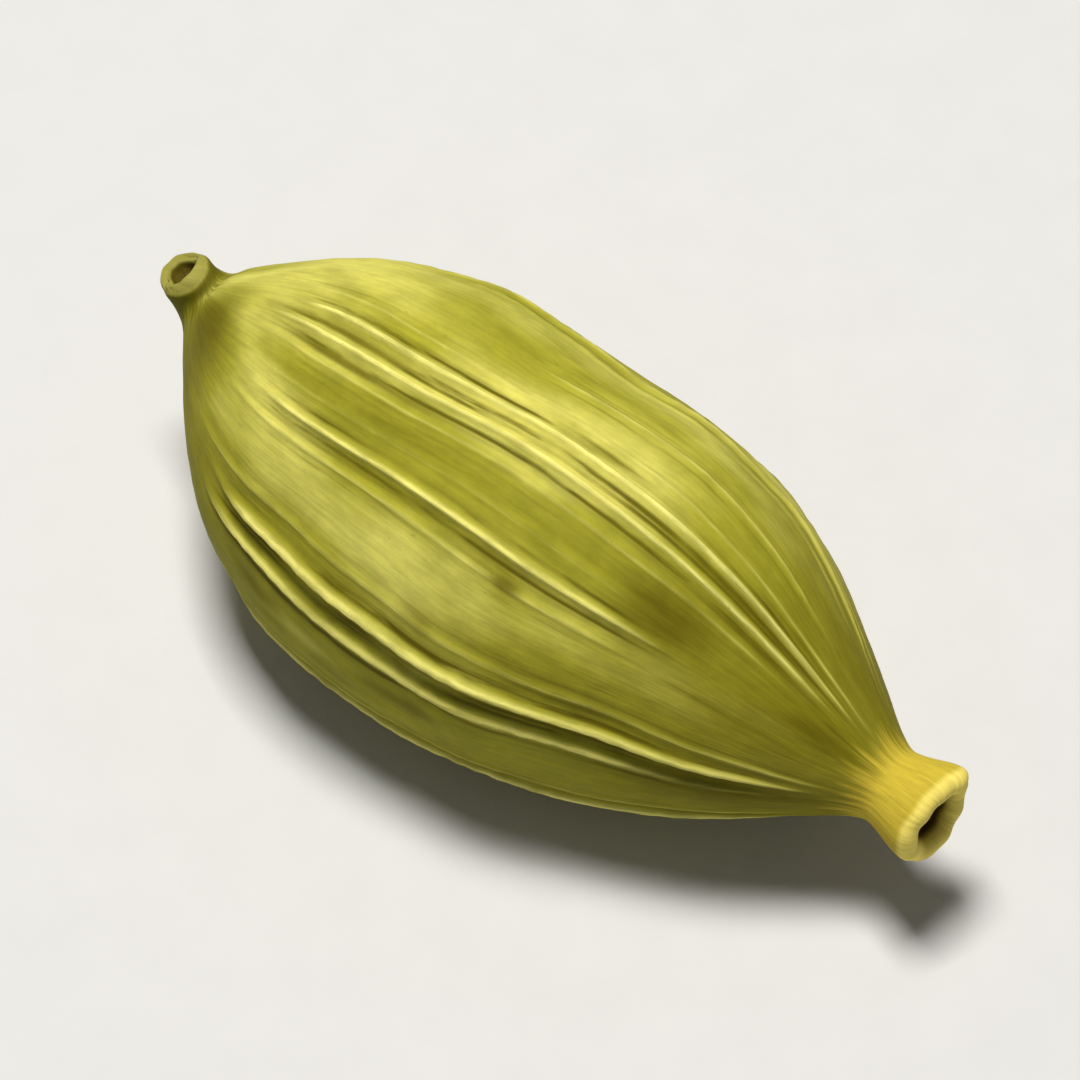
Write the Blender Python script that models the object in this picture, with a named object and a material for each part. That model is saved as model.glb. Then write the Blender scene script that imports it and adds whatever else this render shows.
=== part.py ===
"""A dried green cardamom pod lying on its flattest side, for Blender 4.5.

The pod grew as one piece, so it is one solid: a three-cornered capsule with bundles of ribs along it,
the short hooked stub where its stalk was cut, and the flared collar where its flower sat.
The pod lies along X, with the stub at -X and the collar at +X. Z is up, and it lies on z = 0.
Lengths are in millimetres until placed_points() turns them into metres.
"""

import math

import bmesh
import bpy
import numpy as np

MILLIMETRE = 0.001

# Along the pod, from the stub's cut face to the collar's rim
POD_LENGTH = 16.4
BODY_START = 0.60
BELLY_STATION = 7.1
BODY_END = 15.42

# The capsule: its half width at the belly, its two taper shapes, how much its three corners stand out
BELLY_RADIUS = 3.56
STUB_SIDE_POWERS = (2.85, 1.06)
COLLAR_SIDE_POWERS = (2.6, 0.98)
CORNER_SHARE = 0.045

# The two ends: neck and rim radii, how much the neck spreads towards the capsule, the pit's radius and
# depth, the lip's roundness, how far the rim flares
STUB = {"neck": 0.44, "rim": 0.48, "spread": 0.30, "pit": 0.22, "depth": 0.24, "lip": 0.12, "flare": 0.55}
COLLAR = {"neck": 0.57, "rim": 0.86, "spread": 0.10, "pit": 0.48, "depth": 0.95, "lip": 0.19, "flare": 1.15}

# Where a neck has spread, where it has faded into the capsule, and how sharply the two meet
SPREAD_END = 1.2
NECK_FADE_START = 1.2
NECK_FADE_END = 5.0
JOIN_POWER = 2.0

# Both necks are smooth, and the relief of the wall comes in up to this far from either end
SMOOTH_END = 1.0

# The centre line: how the stub hooks up, to the near side and back over the capsule, and up to where
# the rings lean with it
HOOK_LENGTH = 1.7
HOOK_POWER = 2.4
HOOK_BACK = 0.36
HOOK_UP = 0.80
HOOK_NEAR = 0.38
LEAN_END = 1.5

# How far the belly sags to the near side, and between which stations it comes and goes
BELLY_NEAR = 0.50
SAG_STATIONS = (-1.5, 2.2, 6.0, 12.5)

# How the collar strays from the line of the capsule, and where it turns up
BEAK_START = 13.0
COLLAR_NEAR = -0.07
COLLAR_TURN_START = 14.7
COLLAR_UP = 0.05

# Bundles of ribs: the angle of the middle from the top towards the near side, the spacing of the crests,
# their heights from the first to the last, and where along the pod they rise and die away. Then how
# sharp a crest is, how much lower the ground of a bundle lies, how long a rib takes to rise, and the
# widest step in degrees between two lines of points across a panel
RIB_BUNDLES = (
    (5.3, 7.4, (0.05, 0.16, 0.14, 0.05), 1.4, 15.3),
    (33.5, 7.6, (0.03, 0.13, 0.06), 1.9, 12.8),
    (73.5, 9.2, (0.05, 0.18, 0.14), 2.0, 15.2),
    (120.0, 7.6, (0.05, 0.13, 0.11, 0.06), 2.2, 15.3),
    (149.0, 7.8, (0.07, 0.05), 2.6, 13.2),
    (208.0, 8.2, (0.05, 0.07), 2.6, 13.5),
    (240.0, 7.6, (0.08, 0.17, 0.13, 0.07), 1.6, 15.3),
    (276.0, 7.8, (0.11, 0.07), 2.2, 12.8),
    (311.0, 7.8, (0.03, 0.08, 0.04), 1.9, 15.0),
    (342.0, 7.6, (0.06,), 6.5, 14.0),
)
RIB_POWER = 2.6
GROOVE_DEPTH = 0.03
RISE_LENGTH = 1.6
PANEL_STEP = 7.5

# Ribs wander a little to each side on their way along: how far in degrees, waves along and round the pod
WANDER = ((1.8, 1.1, 2, 0.4), (0.9, 2.7, 3, 1.9))

# Seeds push the wall out a little: how far, waves along and round the pod, phase
SWELLS = ((0.050, 3.0, 2, 0.6), (0.030, 5.0, 3, 2.1), (0.020, 8.0, 5, 4.0))

# How it lies: tipped until its weight is over the spot it stands on, with that spot pressed flat
REST_PITCH = math.radians(4.5)
REST_SINK = 0.15

# The mesh: rings along the body, how much more a turn of the outline draws them in, points round each lip
BODY_RINGS = 43
RING_TURN_SHARE = 1.6
LIP_POINTS = 4

POD_GREEN = (0.36, 0.335, 0.05, 1.0)


def clear_scene():
    for scene_object in list(bpy.data.objects):
        bpy.data.objects.remove(scene_object, do_unlink=True)


def smooth_step(value, low, high):
    """0 below low, 1 above high, and a smooth S between them."""
    t = np.clip((value - low) / (high - low), 0.0, 1.0)
    return t * t * (3 - 2 * t)


def body_radius(station):
    """The capsule's mean radius: blunt on the stub's side of the belly, slimmer on the collar's side."""
    to_stub = np.clip((BELLY_STATION - station) / (BELLY_STATION - BODY_START), 0.0, 1.0)
    to_collar = np.clip((station - BELLY_STATION) / (BODY_END - BELLY_STATION), 0.0, 1.0)
    share = (1 - to_stub ** STUB_SIDE_POWERS[0]) ** STUB_SIDE_POWERS[1]
    share = share * (1 - to_collar ** COLLAR_SIDE_POWERS[0]) ** COLLAR_SIDE_POWERS[1]
    return BELLY_RADIUS * share


def neck_radius(from_end, end):
    """A neck that spreads towards the capsule, flares to its rim at the lip and has faded out at the belly."""
    spread = end["spread"] * smooth_step(from_end, end["lip"], SPREAD_END)
    flare = (end["rim"] - end["neck"]) * (1 - smooth_step(from_end, end["lip"], end["flare"]))
    fade = 1 - smooth_step(from_end, NECK_FADE_START, NECK_FADE_END)
    return (end["neck"] + spread + flare) * fade


def outer_radius(station):
    """Body and necks run into each other: the power mean of both keeps the join soft."""
    neck = np.where(
        station < BELLY_STATION,
        neck_radius(station, STUB),
        neck_radius(POD_LENGTH - station, COLLAR),
    )
    return (neck**JOIN_POWER + body_radius(station) ** JOIN_POWER) ** (1 / JOIN_POWER)


def pit_profile(end):
    """Distance from the cut face and radius, from the middle of the pit's floor out over the lip."""
    floor = [(end["depth"], 0.0), (end["depth"], 0.6 * end["pit"])]
    middle = (end["pit"] + end["rim"]) / 2
    half_width = (end["rim"] - end["pit"]) / 2
    turns = np.linspace(0.0, math.pi, LIP_POINTS)
    lip = [(end["lip"] * (1 - math.sin(turn)), middle - half_width * math.cos(turn)) for turn in turns]
    return np.array(floor + lip)


def body_stations():
    """Where the body's rings lie: closer together the more the outline turns, which is at the ends."""
    fine = np.linspace(STUB["lip"], POD_LENGTH - COLLAR["lip"], 2000)
    radius = outer_radius(fine)
    length = np.hypot(np.gradient(fine), np.gradient(radius))
    turn = np.abs(np.gradient(np.arctan(np.gradient(radius, fine))))
    gone = np.cumsum(length + RING_TURN_SHARE * turn)
    even = np.linspace(gone[0], gone[-1], BODY_RINGS + 2)[1:-1]
    return np.interp(even, gone, fine)


def profile():
    """Station, radius and share of the relief for each ring, from the stub's pit to the collar's."""
    stub = pit_profile(STUB)
    collar = pit_profile(COLLAR)[::-1]
    body = body_stations()
    station = np.concatenate([stub[:, 0], body, POD_LENGTH - collar[:, 0]])
    radius = np.concatenate([stub[:, 1], outer_radius(body), collar[:, 1]])
    settled = smooth_step(body, STUB["lip"], SMOOTH_END)
    settled = settled * smooth_step(POD_LENGTH - body, COLLAR["lip"], SMOOTH_END)
    relief_share = np.concatenate([np.zeros(len(stub)), settled, np.zeros(len(collar))])
    return station, radius, relief_share


def column_angles():
    """The angle of each line of points: on every crest, in every groove, and across the panels."""
    angles = []
    for number, (middle, spacing, heights, _, _) in enumerate(RIB_BUNDLES):
        half = spacing * len(heights) / 2
        angles.extend(np.linspace(middle - half, middle + half, 2 * len(heights) + 1))
        following, next_spacing, next_heights = RIB_BUNDLES[(number + 1) % len(RIB_BUNDLES)][:3]
        gap = (following - next_spacing * len(next_heights) / 2 - middle - half) % 360
        panel = np.linspace(middle + half, middle + half + gap, math.ceil(gap / PANEL_STEP) + 1)
        angles.extend(panel[1:-1])
    return np.array(angles)


def rib_relief(station, angle):
    """Ribs like the ridge of a tent, hollow to both sides, on ground that is lower within a bundle."""
    relief = np.zeros(np.broadcast(station, angle).shape)
    for middle, spacing, heights, start, end in RIB_BUNDLES:
        across = ((angle - middle + 180) % 360 - 180) / spacing
        for number, height in enumerate(heights):
            first = start + 0.4 * (number * 7 % 4)
            last = end - 0.4 * (number * 5 % 4)
            off = 2 * np.abs(across - number + (len(heights) - 1) / 2)
            present = smooth_step(station, first, first + RISE_LENGTH)
            present = present * (1 - smooth_step(station, last - RISE_LENGTH, last))
            relief += present * height * np.clip(1 - off, 0.0, 1.0) ** RIB_POWER
        present = smooth_step(station, start, start + RISE_LENGTH)
        present = present * (1 - smooth_step(station, end - RISE_LENGTH, end))
        edge = len(heights) / 2
        relief -= present * GROOVE_DEPTH * (1 - smooth_step(np.abs(across), edge - 0.5, edge + 0.2))
    return relief


def swell(station, angle):
    """The slow rise and fall of the wall over the seeds."""
    return sum(
        size * np.sin(2 * math.pi * along * station / POD_LENGTH + phase) * np.cos(around * angle + phase)
        for size, along, around, phase in SWELLS
    )


def wandered(station, angle):
    """Each line's true angle where the ribs stray a little from a straight run, in degrees."""
    turn = np.radians(angle)
    stray = sum(
        size * np.sin(2 * math.pi * along * station / POD_LENGTH + around * turn + phase)
        for size, along, around, phase in WANDER
    )
    return angle + stray


def centre_line(station):
    """The point on the pod's bent centre line at each station."""
    hook = np.clip(1 - station / HOOK_LENGTH, 0.0, 1.0) ** HOOK_POWER
    belly = smooth_step(station, *SAG_STATIONS[:2]) * (1 - smooth_step(station, *SAG_STATIONS[2:]))
    beak = smooth_step(station, BEAK_START, POD_LENGTH)
    turn_up = np.clip((station - COLLAR_TURN_START) / (POD_LENGTH - COLLAR_TURN_START), 0.0, 2.0) ** 2
    x = station + HOOK_BACK * hook
    y = -HOOK_NEAR * hook - BELLY_NEAR * belly - COLLAR_NEAR * beak
    z = HOOK_UP * hook + COLLAR_UP * turn_up
    return np.stack([x, y, z], axis=1)


def ring_directions(station):
    """Up and near-side directions of each ring: square to the line in both necks, upright in the capsule."""
    step = 0.01
    along = centre_line(station + step) - centre_line(station - step)
    along /= np.linalg.norm(along, axis=1, keepdims=True)
    upright = smooth_step(station, 0.0, LEAN_END) * (1 - smooth_step(station, BEAK_START, COLLAR_TURN_START))
    along = along + upright[:, None] * (np.array([1.0, 0.0, 0.0]) - along)
    along /= np.linalg.norm(along, axis=1, keepdims=True)
    up = np.array([0.0, 0.0, 1.0]) - along[:, 2:] * along
    up /= np.linalg.norm(up, axis=1, keepdims=True)
    return up, np.cross(along, up)


def placed_points(station, radius, relief_share, angles):
    """A grid of points, ring by column: the pod on its flat spot, centred over the origin, in metres."""
    ring = station[:, None]
    share = (radius / BELLY_RADIUS)[:, None]
    turn = np.radians(wandered(ring, angles[None, :]))
    corner = CORNER_SHARE * np.cos(3 * turn) * smooth_step(share, 0.15, 0.6)
    relief = radius[:, None] * corner + rib_relief(ring, angles[None, :]) * np.sqrt(share)
    relief = relief + swell(ring, turn) * share
    reach = radius[:, None] + relief * relief_share[:, None]
    up, near = ring_directions(station)
    outward = np.cos(turn)[:, :, None] * up[:, None] + np.sin(turn)[:, :, None] * near[:, None]
    points = centre_line(station)[:, None] + reach[:, :, None] * outward

    cosine, sine = math.cos(REST_PITCH), math.sin(REST_PITCH)
    tip = np.array([[cosine, 0.0, sine], [0.0, 1.0, 0.0], [-sine, 0.0, cosine]])
    points = points @ tip.T
    points[:, :, 2] -= points[:, :, 2].min() + REST_SINK
    points[:, :, 2] = np.maximum(points[:, :, 2], 0.0)
    low = points.min(axis=(0, 1))
    high = points.max(axis=(0, 1))
    points[:, :, :2] -= (low[:2] + high[:2]) / 2
    return points * MILLIMETRE


def pod_material():
    material = bpy.data.materials.new("dried_green_skin")
    material.use_nodes = True
    shader = material.node_tree.nodes["Principled BSDF"]
    shader.inputs["Base Color"].default_value = POD_GREEN
    shader.inputs["Roughness"].default_value = 0.62
    shader.inputs["Metallic"].default_value = 0.0
    return material


def add_pod(collection):
    """A UV sphere whose poles are the floors of the two pits, each ring and column moved to its place."""
    station, radius, relief_share = profile()
    angles = column_angles()
    points = placed_points(station, radius, relief_share, angles)
    ring_steps = len(station) - 1
    column_count = len(angles)

    shape = bmesh.new()
    bmesh.ops.create_uvsphere(shape, u_segments=column_count, v_segments=ring_steps, radius=1.0)
    for vertex in shape.verts:
        x, y, z = vertex.co
        ring = ring_steps - round(math.acos(max(-1.0, min(1.0, z))) / math.pi * ring_steps)
        column = round(math.atan2(-x, y) / (2 * math.pi) * column_count) % column_count
        vertex.co = points[ring, column]
    mesh = bpy.data.meshes.new("cardamom_pod")
    shape.to_mesh(mesh)
    shape.free()
    mesh.shade_smooth()
    mesh.set_sharp_from_angle(angle=math.radians(50))
    mesh.materials.append(pod_material())

    pod = bpy.data.objects.new("cardamom_pod", mesh)
    collection.objects.link(pod)
    return pod


def main():
    clear_scene()
    collection = bpy.data.collections.new("green_cardamom_pod")
    bpy.context.scene.collection.children.link(collection)
    add_pod(collection)


main()
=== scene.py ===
# %% [markdown]
# # A dried green cardamom pod
# The pod is the fruit of a ginger-like plant: a papery capsule of three chambers, with bundles of ribs
# along it. At one end is the short stub of its stalk, and at the other the small collar where its
# flower sat. This lesson dresses the imported solid of the pod: it builds the skin again as a fine
# surface from the same measures, lines the two hollow ends, and then colours and lights it. It starts
# with the frame, and keeps the solid's box.

import math

import bpy
import numpy as np
from mathutils import Matrix, Vector


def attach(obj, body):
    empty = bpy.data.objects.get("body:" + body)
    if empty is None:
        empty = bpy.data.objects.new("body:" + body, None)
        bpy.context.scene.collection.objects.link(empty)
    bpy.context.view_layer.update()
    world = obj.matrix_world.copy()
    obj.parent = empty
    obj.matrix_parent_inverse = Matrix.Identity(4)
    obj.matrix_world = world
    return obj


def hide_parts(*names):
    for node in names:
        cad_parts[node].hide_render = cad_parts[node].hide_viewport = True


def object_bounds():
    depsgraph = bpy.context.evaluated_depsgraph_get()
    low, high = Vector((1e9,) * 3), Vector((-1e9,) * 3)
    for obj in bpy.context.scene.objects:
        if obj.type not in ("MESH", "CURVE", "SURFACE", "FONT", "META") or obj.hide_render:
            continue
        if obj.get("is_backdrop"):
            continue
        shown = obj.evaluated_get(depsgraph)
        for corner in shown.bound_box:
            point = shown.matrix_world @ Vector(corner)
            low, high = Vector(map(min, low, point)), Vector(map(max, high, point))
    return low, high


MILLIMETRE = 0.001

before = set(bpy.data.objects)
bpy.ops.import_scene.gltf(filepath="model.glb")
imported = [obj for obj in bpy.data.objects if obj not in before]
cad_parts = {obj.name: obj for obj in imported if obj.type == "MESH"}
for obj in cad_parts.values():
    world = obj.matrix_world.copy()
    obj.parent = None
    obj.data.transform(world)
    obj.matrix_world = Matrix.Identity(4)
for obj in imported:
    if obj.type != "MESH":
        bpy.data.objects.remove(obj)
cad_low, cad_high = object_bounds()
cad_size = cad_high - cad_low
print("the solid is", [round(side / MILLIMETRE, 2) for side in cad_size], "mm")

# %% [markdown]
# ## The outline
# Turned about its long axis, the pod's outline is a blunt curve on the stalk's side of the belly and a
# slimmer one on the flower's side, each ending in a small tube. It could be drawn by hand as a Bezier
# curve, but a formula lets the ribs and the colours use the same numbers. Lengths here are millimetres
# from the stub's cut face. Each end has the radius of its neck, of its rim and of its pit, how much the
# neck spreads towards the capsule, how deep the pit is, how thick the lip is, and how far down the neck
# the flare of the rim reaches.

# %% Outline of the capsule and of its two necks
POD_LENGTH = 16.4
BODY_START = 0.60
BELLY_STATION = 7.1
BODY_END = 15.42
BELLY_RADIUS = 3.56
STUB_SIDE_POWERS = (2.85, 1.06)
COLLAR_SIDE_POWERS = (2.6, 0.98)
STUB = {"neck": 0.44, "rim": 0.48, "spread": 0.30, "pit": 0.22, "depth": 0.24, "lip": 0.12, "flare": 0.55}
COLLAR = {"neck": 0.57, "rim": 0.86, "spread": 0.10, "pit": 0.48, "depth": 0.95, "lip": 0.19, "flare": 1.15}
JOIN_POWER = 2.0
SPREAD_END = 1.2
NECK_FADE_START = 1.2
NECK_FADE_END = 5.0


def smooth_step(value, low, high):
    """0 below low, 1 above high, and between them 3 t squared less 2 t cubed."""
    t = np.clip((value - low) / (high - low), 0.0, 1.0)
    return t * t * (3 - 2 * t)


def body_radius(station):
    """The belly radius times (1 - d^a)^b, where d is 0 at the belly and 1 at that end of the capsule."""
    to_stub = np.clip((BELLY_STATION - station) / (BELLY_STATION - BODY_START), 0.0, 1.0)
    to_collar = np.clip((station - BELLY_STATION) / (BODY_END - BELLY_STATION), 0.0, 1.0)
    share = (1 - to_stub ** STUB_SIDE_POWERS[0]) ** STUB_SIDE_POWERS[1]
    share = share * (1 - to_collar ** COLLAR_SIDE_POWERS[0]) ** COLLAR_SIDE_POWERS[1]
    return BELLY_RADIUS * share


def neck_radius(from_end, end):
    """A neck that spreads towards the capsule, flares to its rim at the lip and fades out at the belly."""
    spread = end["spread"] * smooth_step(from_end, end["lip"], SPREAD_END)
    flare = (end["rim"] - end["neck"]) * (1 - smooth_step(from_end, end["lip"], end["flare"]))
    fade = 1 - smooth_step(from_end, NECK_FADE_START, NECK_FADE_END)
    return (end["neck"] + spread + flare) * fade


def outer_radius(station):
    """The power mean of the body's radius and the neck's, which rounds the corner where they meet."""
    from_end = np.where(station < BELLY_STATION, station, POD_LENGTH - station)
    neck = np.where(station < BELLY_STATION, neck_radius(from_end, STUB), neck_radius(from_end, COLLAR))
    return (neck**JOIN_POWER + body_radius(station) ** JOIN_POWER) ** (1 / JOIN_POWER)


thickness = 2 * float(outer_radius(np.array([BELLY_STATION]))[0])
print("the capsule is", round(thickness, 2), "mm thick at the belly")

# %% [markdown]
# ## Rings along the pod
# A surface on a grid needs rings along the pod. They lie closer together where the outline turns,
# because that is where a coarse mesh would show corners. Each end goes on over a rounded lip and down
# into its pit, and closes in one point at the middle of the pit's floor.

# %% Stations, radii and the inside of the two ends
BODY_RINGS = 205
RING_TURN_SHARE = 1.6
LIP_POINTS = 10
WALL_POINTS = 5
FLOOR_SHARE = 0.6
OUTLINE_SAMPLES = 4000


def pit_profile(end):
    """Distance from the cut face and radius: the floor, up the wall, and a half circle over the lip."""
    rows = np.linspace(0.0, 1.0, WALL_POINTS, endpoint=False)
    floor_radius = FLOOR_SHARE * end["pit"]
    floor = [(end["depth"], 0.0), (end["depth"], 0.5 * floor_radius)]
    wall_distance = end["depth"] + (end["lip"] - end["depth"]) * rows
    wall_radius = floor_radius + (end["pit"] - floor_radius) * rows
    turns = np.linspace(0.0, math.pi, LIP_POINTS)
    middle = (end["pit"] + end["rim"]) / 2
    half_width = (end["rim"] - end["pit"]) / 2
    lip = np.stack([end["lip"] * (1 - np.sin(turns)), middle - half_width * np.cos(turns)], axis=1)
    return np.concatenate([np.array(floor), np.stack([wall_distance, wall_radius], axis=1), lip])


def body_stations():
    """Even steps along the sum of the outline's length and a share of how far it turns."""
    fine = np.linspace(STUB["lip"], POD_LENGTH - COLLAR["lip"], OUTLINE_SAMPLES)
    radius = outer_radius(fine)
    length = np.hypot(np.gradient(fine), np.gradient(radius))
    turn = np.abs(np.gradient(np.arctan(np.gradient(radius, fine))))
    gone = np.cumsum(length + RING_TURN_SHARE * turn)
    even = np.linspace(gone[0], gone[-1], BODY_RINGS + 2)[1:-1]
    return np.interp(even, gone, fine)


stub_pit = pit_profile(STUB)
collar_pit = pit_profile(COLLAR)[::-1]
body = body_stations()
station = np.concatenate([stub_pit[:, 0], body, POD_LENGTH - collar_pit[:, 0]])
radius = np.concatenate([stub_pit[:, 1], outer_radius(body), collar_pit[:, 1]])
on_body = np.concatenate([np.zeros(len(stub_pit)), np.ones(len(body)), np.zeros(len(collar_pit))])
print(len(station), "rings from the stub's pit to the collar's")

# %% [markdown]
# ## Ribs
# The ribs are bundles of fibre under the skin, which stands up over them like cloth over tent poles.
# Bump alone could fake them, but a rib breaks the outline and throws a shadow, so they are real relief
# here. Each bundle is a row: its middle angle and crest spacing in degrees, the heights of its crests,
# and the stations where it starts and ends. Those of the side that shows are measured, and the lines of
# the grid follow them, so no crest is cut off between two points.

# %% Where the ribs run, and the lines of the grid
RIB_BUNDLES = (
    (5.3, 7.4, (0.05, 0.16, 0.14, 0.05), 1.4, 15.3),
    (33.5, 7.6, (0.03, 0.13, 0.06), 1.9, 12.8),
    (73.5, 9.2, (0.05, 0.18, 0.14), 2.0, 15.2),
    (120.0, 7.6, (0.05, 0.13, 0.11, 0.06), 2.2, 15.3),
    (149.0, 7.8, (0.07, 0.05), 2.6, 13.2),
    (208.0, 8.2, (0.05, 0.07), 2.6, 13.5),
    (240.0, 7.6, (0.08, 0.17, 0.13, 0.07), 1.6, 15.3),
    (276.0, 7.8, (0.11, 0.07), 2.2, 12.8),
    (311.0, 7.8, (0.03, 0.08, 0.04), 1.9, 15.0),
    (342.0, 7.6, (0.06,), 6.5, 14.0),
)
RIB_POWER = 2.6
GROOVE_DEPTH = 0.03
RISE_LENGTH = 1.6
PANEL_STEP = 7.5
LINE_SPLITS = 5


def column_angles():
    """A line on every crest, in every groove and across panels, each gap between lines split evenly."""
    lines = []
    for number, (middle, spacing, heights, _, _) in enumerate(RIB_BUNDLES):
        half = spacing * len(heights) / 2
        lines.extend(np.linspace(middle - half, middle + half, 2 * len(heights) + 1))
        following, next_spacing, next_heights = RIB_BUNDLES[(number + 1) % len(RIB_BUNDLES)][:3]
        gap = (following - next_spacing * len(next_heights) / 2 - middle - half) % 360
        panel = np.linspace(middle + half, middle + half + gap, math.ceil(gap / PANEL_STEP) + 1)
        lines.extend(panel[1:-1])
    lines.append(lines[0] + 360)
    count = (len(lines) - 1) * LINE_SPLITS
    return np.interp(np.arange(count) / LINE_SPLITS, np.arange(len(lines)), lines)


angles = column_angles()
print(len(angles), "lines of points round the pod,", sum(len(row[2]) for row in RIB_BUNDLES), "ribs")

# %% [markdown]
# A crest's section is (1 - d) to the power 2.6, where d is 0 on the crest and 1 halfway to the next: a
# sharp ridge with hollow flanks, as dried skin pulls tight over a fibre. The same pass keeps two masks
# for the colours: where the crests are, and where the dark lines at their feet run, which are partly the
# skin's own darker grooves and partly painted shade.

# %% Rib relief and its two masks
FOOT_MIDDLE = 0.78
FOOT_WIDTH = 0.42
TALLEST_RIB = 0.18
LOWEST_SHARE = 0.15
END_STEP = 0.4


def presence(along, start, end):
    """0 outside the rib's run, 1 inside it, with an S of the rise length at both ends."""
    rise = smooth_step(along, start, start + RISE_LENGTH)
    return rise * (1 - smooth_step(along, end - RISE_LENGTH, end))


def rib_relief(along, angle):
    """Relief in millimetres, crest mask, and a mask of the dark feet, partly painted shade. Crests of one
    bundle start and end apart.
    """
    relief = np.zeros(np.broadcast(along, angle).shape)
    crest = relief.copy()
    foot_tone_and_shade = relief.copy()
    for middle, spacing, heights, start, end in RIB_BUNDLES:
        across = ((angle - middle + 180) % 360 - 180) / spacing
        for number, height in enumerate(heights):
            first = start + END_STEP * (number * 7 % 4)
            present = presence(along, first, end - END_STEP * (number * 5 % 4))
            off = 2 * np.abs(across - number + (len(heights) - 1) / 2)
            ridge = np.clip(1 - off, 0.0, 1.0) ** RIB_POWER
            relief += present * height * ridge
            strength = present * (LOWEST_SHARE + (1 - LOWEST_SHARE) * height / TALLEST_RIB)
            crest = np.maximum(crest, strength * ridge)
            at_foot = np.clip(1 - np.abs(off - FOOT_MIDDLE) / FOOT_WIDTH, 0.0, 1.0)
            foot_tone_and_shade = np.maximum(foot_tone_and_shade, strength * at_foot)
        edge = len(heights) / 2
        ground = presence(along, start, end) * (1 - smooth_step(np.abs(across), edge - 0.5, edge + 0.2))
        relief -= ground * GROOVE_DEPTH
    return relief, crest, foot_tone_and_shade


ribs, crest_mask, foot_tone_and_shade_mask = rib_relief(station[:, None], angles[None, :])
print("rib relief from", round(float(ribs.min()), 2), "to", round(float(ribs.max()), 2), "mm")

# %% [markdown]
# ## Swelling, wandering and fine lines
# The seeds push the wall out in low swells, the ribs stray a little from a straight run, and between
# them the skin has fine lines along it, and the crests are puckered into small beads. Each is a sum of
# a few sines, one to a row that starts with its size, and the waves round the pod are whole numbers, so
# that the pattern meets itself where the grid closes.

# %% Slow and fine relief of the wall
WANDER = ((1.8, 1.1, 2, 0.4), (0.9, 2.7, 3, 1.9))
SWELLS = ((0.050, 3.0, 2, 0.6), (0.030, 5.0, 3, 2.1), (0.020, 8.0, 5, 4.0))
FINE_LINES = ((0.003, 29, 1.1, 0.7), (0.0035, 43, 1.9, 2.9), (0.002, 61, 2.6, 5.1))
WRINKLES = ((0.004, 0.62, 7, 1.3), (0.004, 0.41, 12, 3.7))
BEAD_HEIGHT = 0.007
BEAD_LENGTH = 0.36
CORNER_SHARE = 0.045
SMOOTH_END = 1.0


def wandered(along, angle):
    """The angle plus, for each wave, a size in degrees times a sine of both directions."""
    turn = np.radians(angle)
    return angle + sum(
        size * np.sin(2 * math.pi * waves * along / POD_LENGTH + around * turn + phase)
        for size, waves, around, phase in WANDER
    )


def swell(along, turn):
    """Sines along the pod times cosines round it."""
    return sum(
        size * np.sin(2 * math.pi * waves * along / POD_LENGTH + phase) * np.cos(around * turn + phase)
        for size, waves, around, phase in SWELLS
    )


def fine_relief(along, turn):
    """Combs of sines round the pod that drift along it, and short ripples across it in loose patches."""
    fine = 0.0
    for size, around, drift, phase in FINE_LINES:
        comb = np.sin(around * turn + 1.4 * np.sin(drift * along + phase))
        fine = fine + size * comb * (0.65 + 0.35 * np.sin(along + phase))
    for size, length, around, phase in WRINKLES:
        ripple = np.sin(2 * math.pi * along / length + np.sin(around * turn))
        fine = fine + size * ripple * np.cos(around * turn + along + phase)
    return fine


turn = np.radians(wandered(station[:, None], angles[None, :]))
share = (radius / BELLY_RADIUS)[:, None]
settled = smooth_step(station, STUB["lip"], SMOOTH_END) * on_body
settled = settled * smooth_step(POD_LENGTH - station, COLLAR["lip"], SMOOTH_END)
corners = CORNER_SHARE * np.cos(3 * turn) * smooth_step(share, 0.15, 0.6)
relief = radius[:, None] * corners + ribs * np.sqrt(share) + swell(station[:, None], turn) * share
relief = relief + fine_relief(station[:, None], turn) * np.sqrt(share)
bead_phase = 2 * math.pi * station[:, None] / BEAD_LENGTH + 3 * np.sin(9 * turn)
beads = np.sin(bead_phase + np.sin(1.3 * station[:, None]))
relief = relief + BEAD_HEIGHT * beads * crest_mask * np.sqrt(share)
print("the wall's relief runs from", round(float(relief.min()), 2), "to", round(float(relief.max()), 2), "mm")

# %% [markdown]
# ## The two rims
# Both ends are torn or cut, so neither rim is a true circle. A few sines, each a row of size, waves
# round the rim and phase, bend each lip in and out and along the pod, and fade away down the neck.

# %% Uneven lips
RIM_REACH = 0.9
RIM_WAVES = ((0.035, 2, 0.8), (0.022, 3, 2.2), (0.016, 5, 4.1), (0.012, 9, 1.0))


def uneven(angle_turn, shift):
    """A sum of sines round the rim, about 0."""
    return sum(size * np.sin(around * angle_turn + phase + shift) for size, around, phase in RIM_WAVES)


from_stub = station[:, None]
from_collar = POD_LENGTH - station[:, None]
near_stub = 1 - smooth_step(from_stub, 0.0, RIM_REACH)
near_collar = 1 - smooth_step(from_collar, 0.0, RIM_REACH)
pushed_out = near_stub * uneven(turn, 0.0) * 0.8 + near_collar * uneven(turn, 2.5)
pushed_along = near_stub * uneven(turn, 4.0) * 0.4 + near_collar * uneven(turn, 1.2)
closing = np.clip(radius / STUB["pit"], 0.0, 1.0)[:, None]
reach = radius[:, None] * (1 + pushed_out * closing) + relief * settled[:, None]
print("the rims stray by up to", round(float(np.abs(pushed_out).max()), 3), "of their radius")

# %% [markdown]
# ## The centre line and the resting pose
# The stub hooks up and to the near side, and the belly sags a little to that side. In both necks the
# rings stand square to that bent line, and in the capsule they stay upright, or the hook would fold the
# shoulder. Then the whole pod tips until its weight is over the spot it lies on, and that spot is
# pressed flat, exactly as in the solid.

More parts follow.
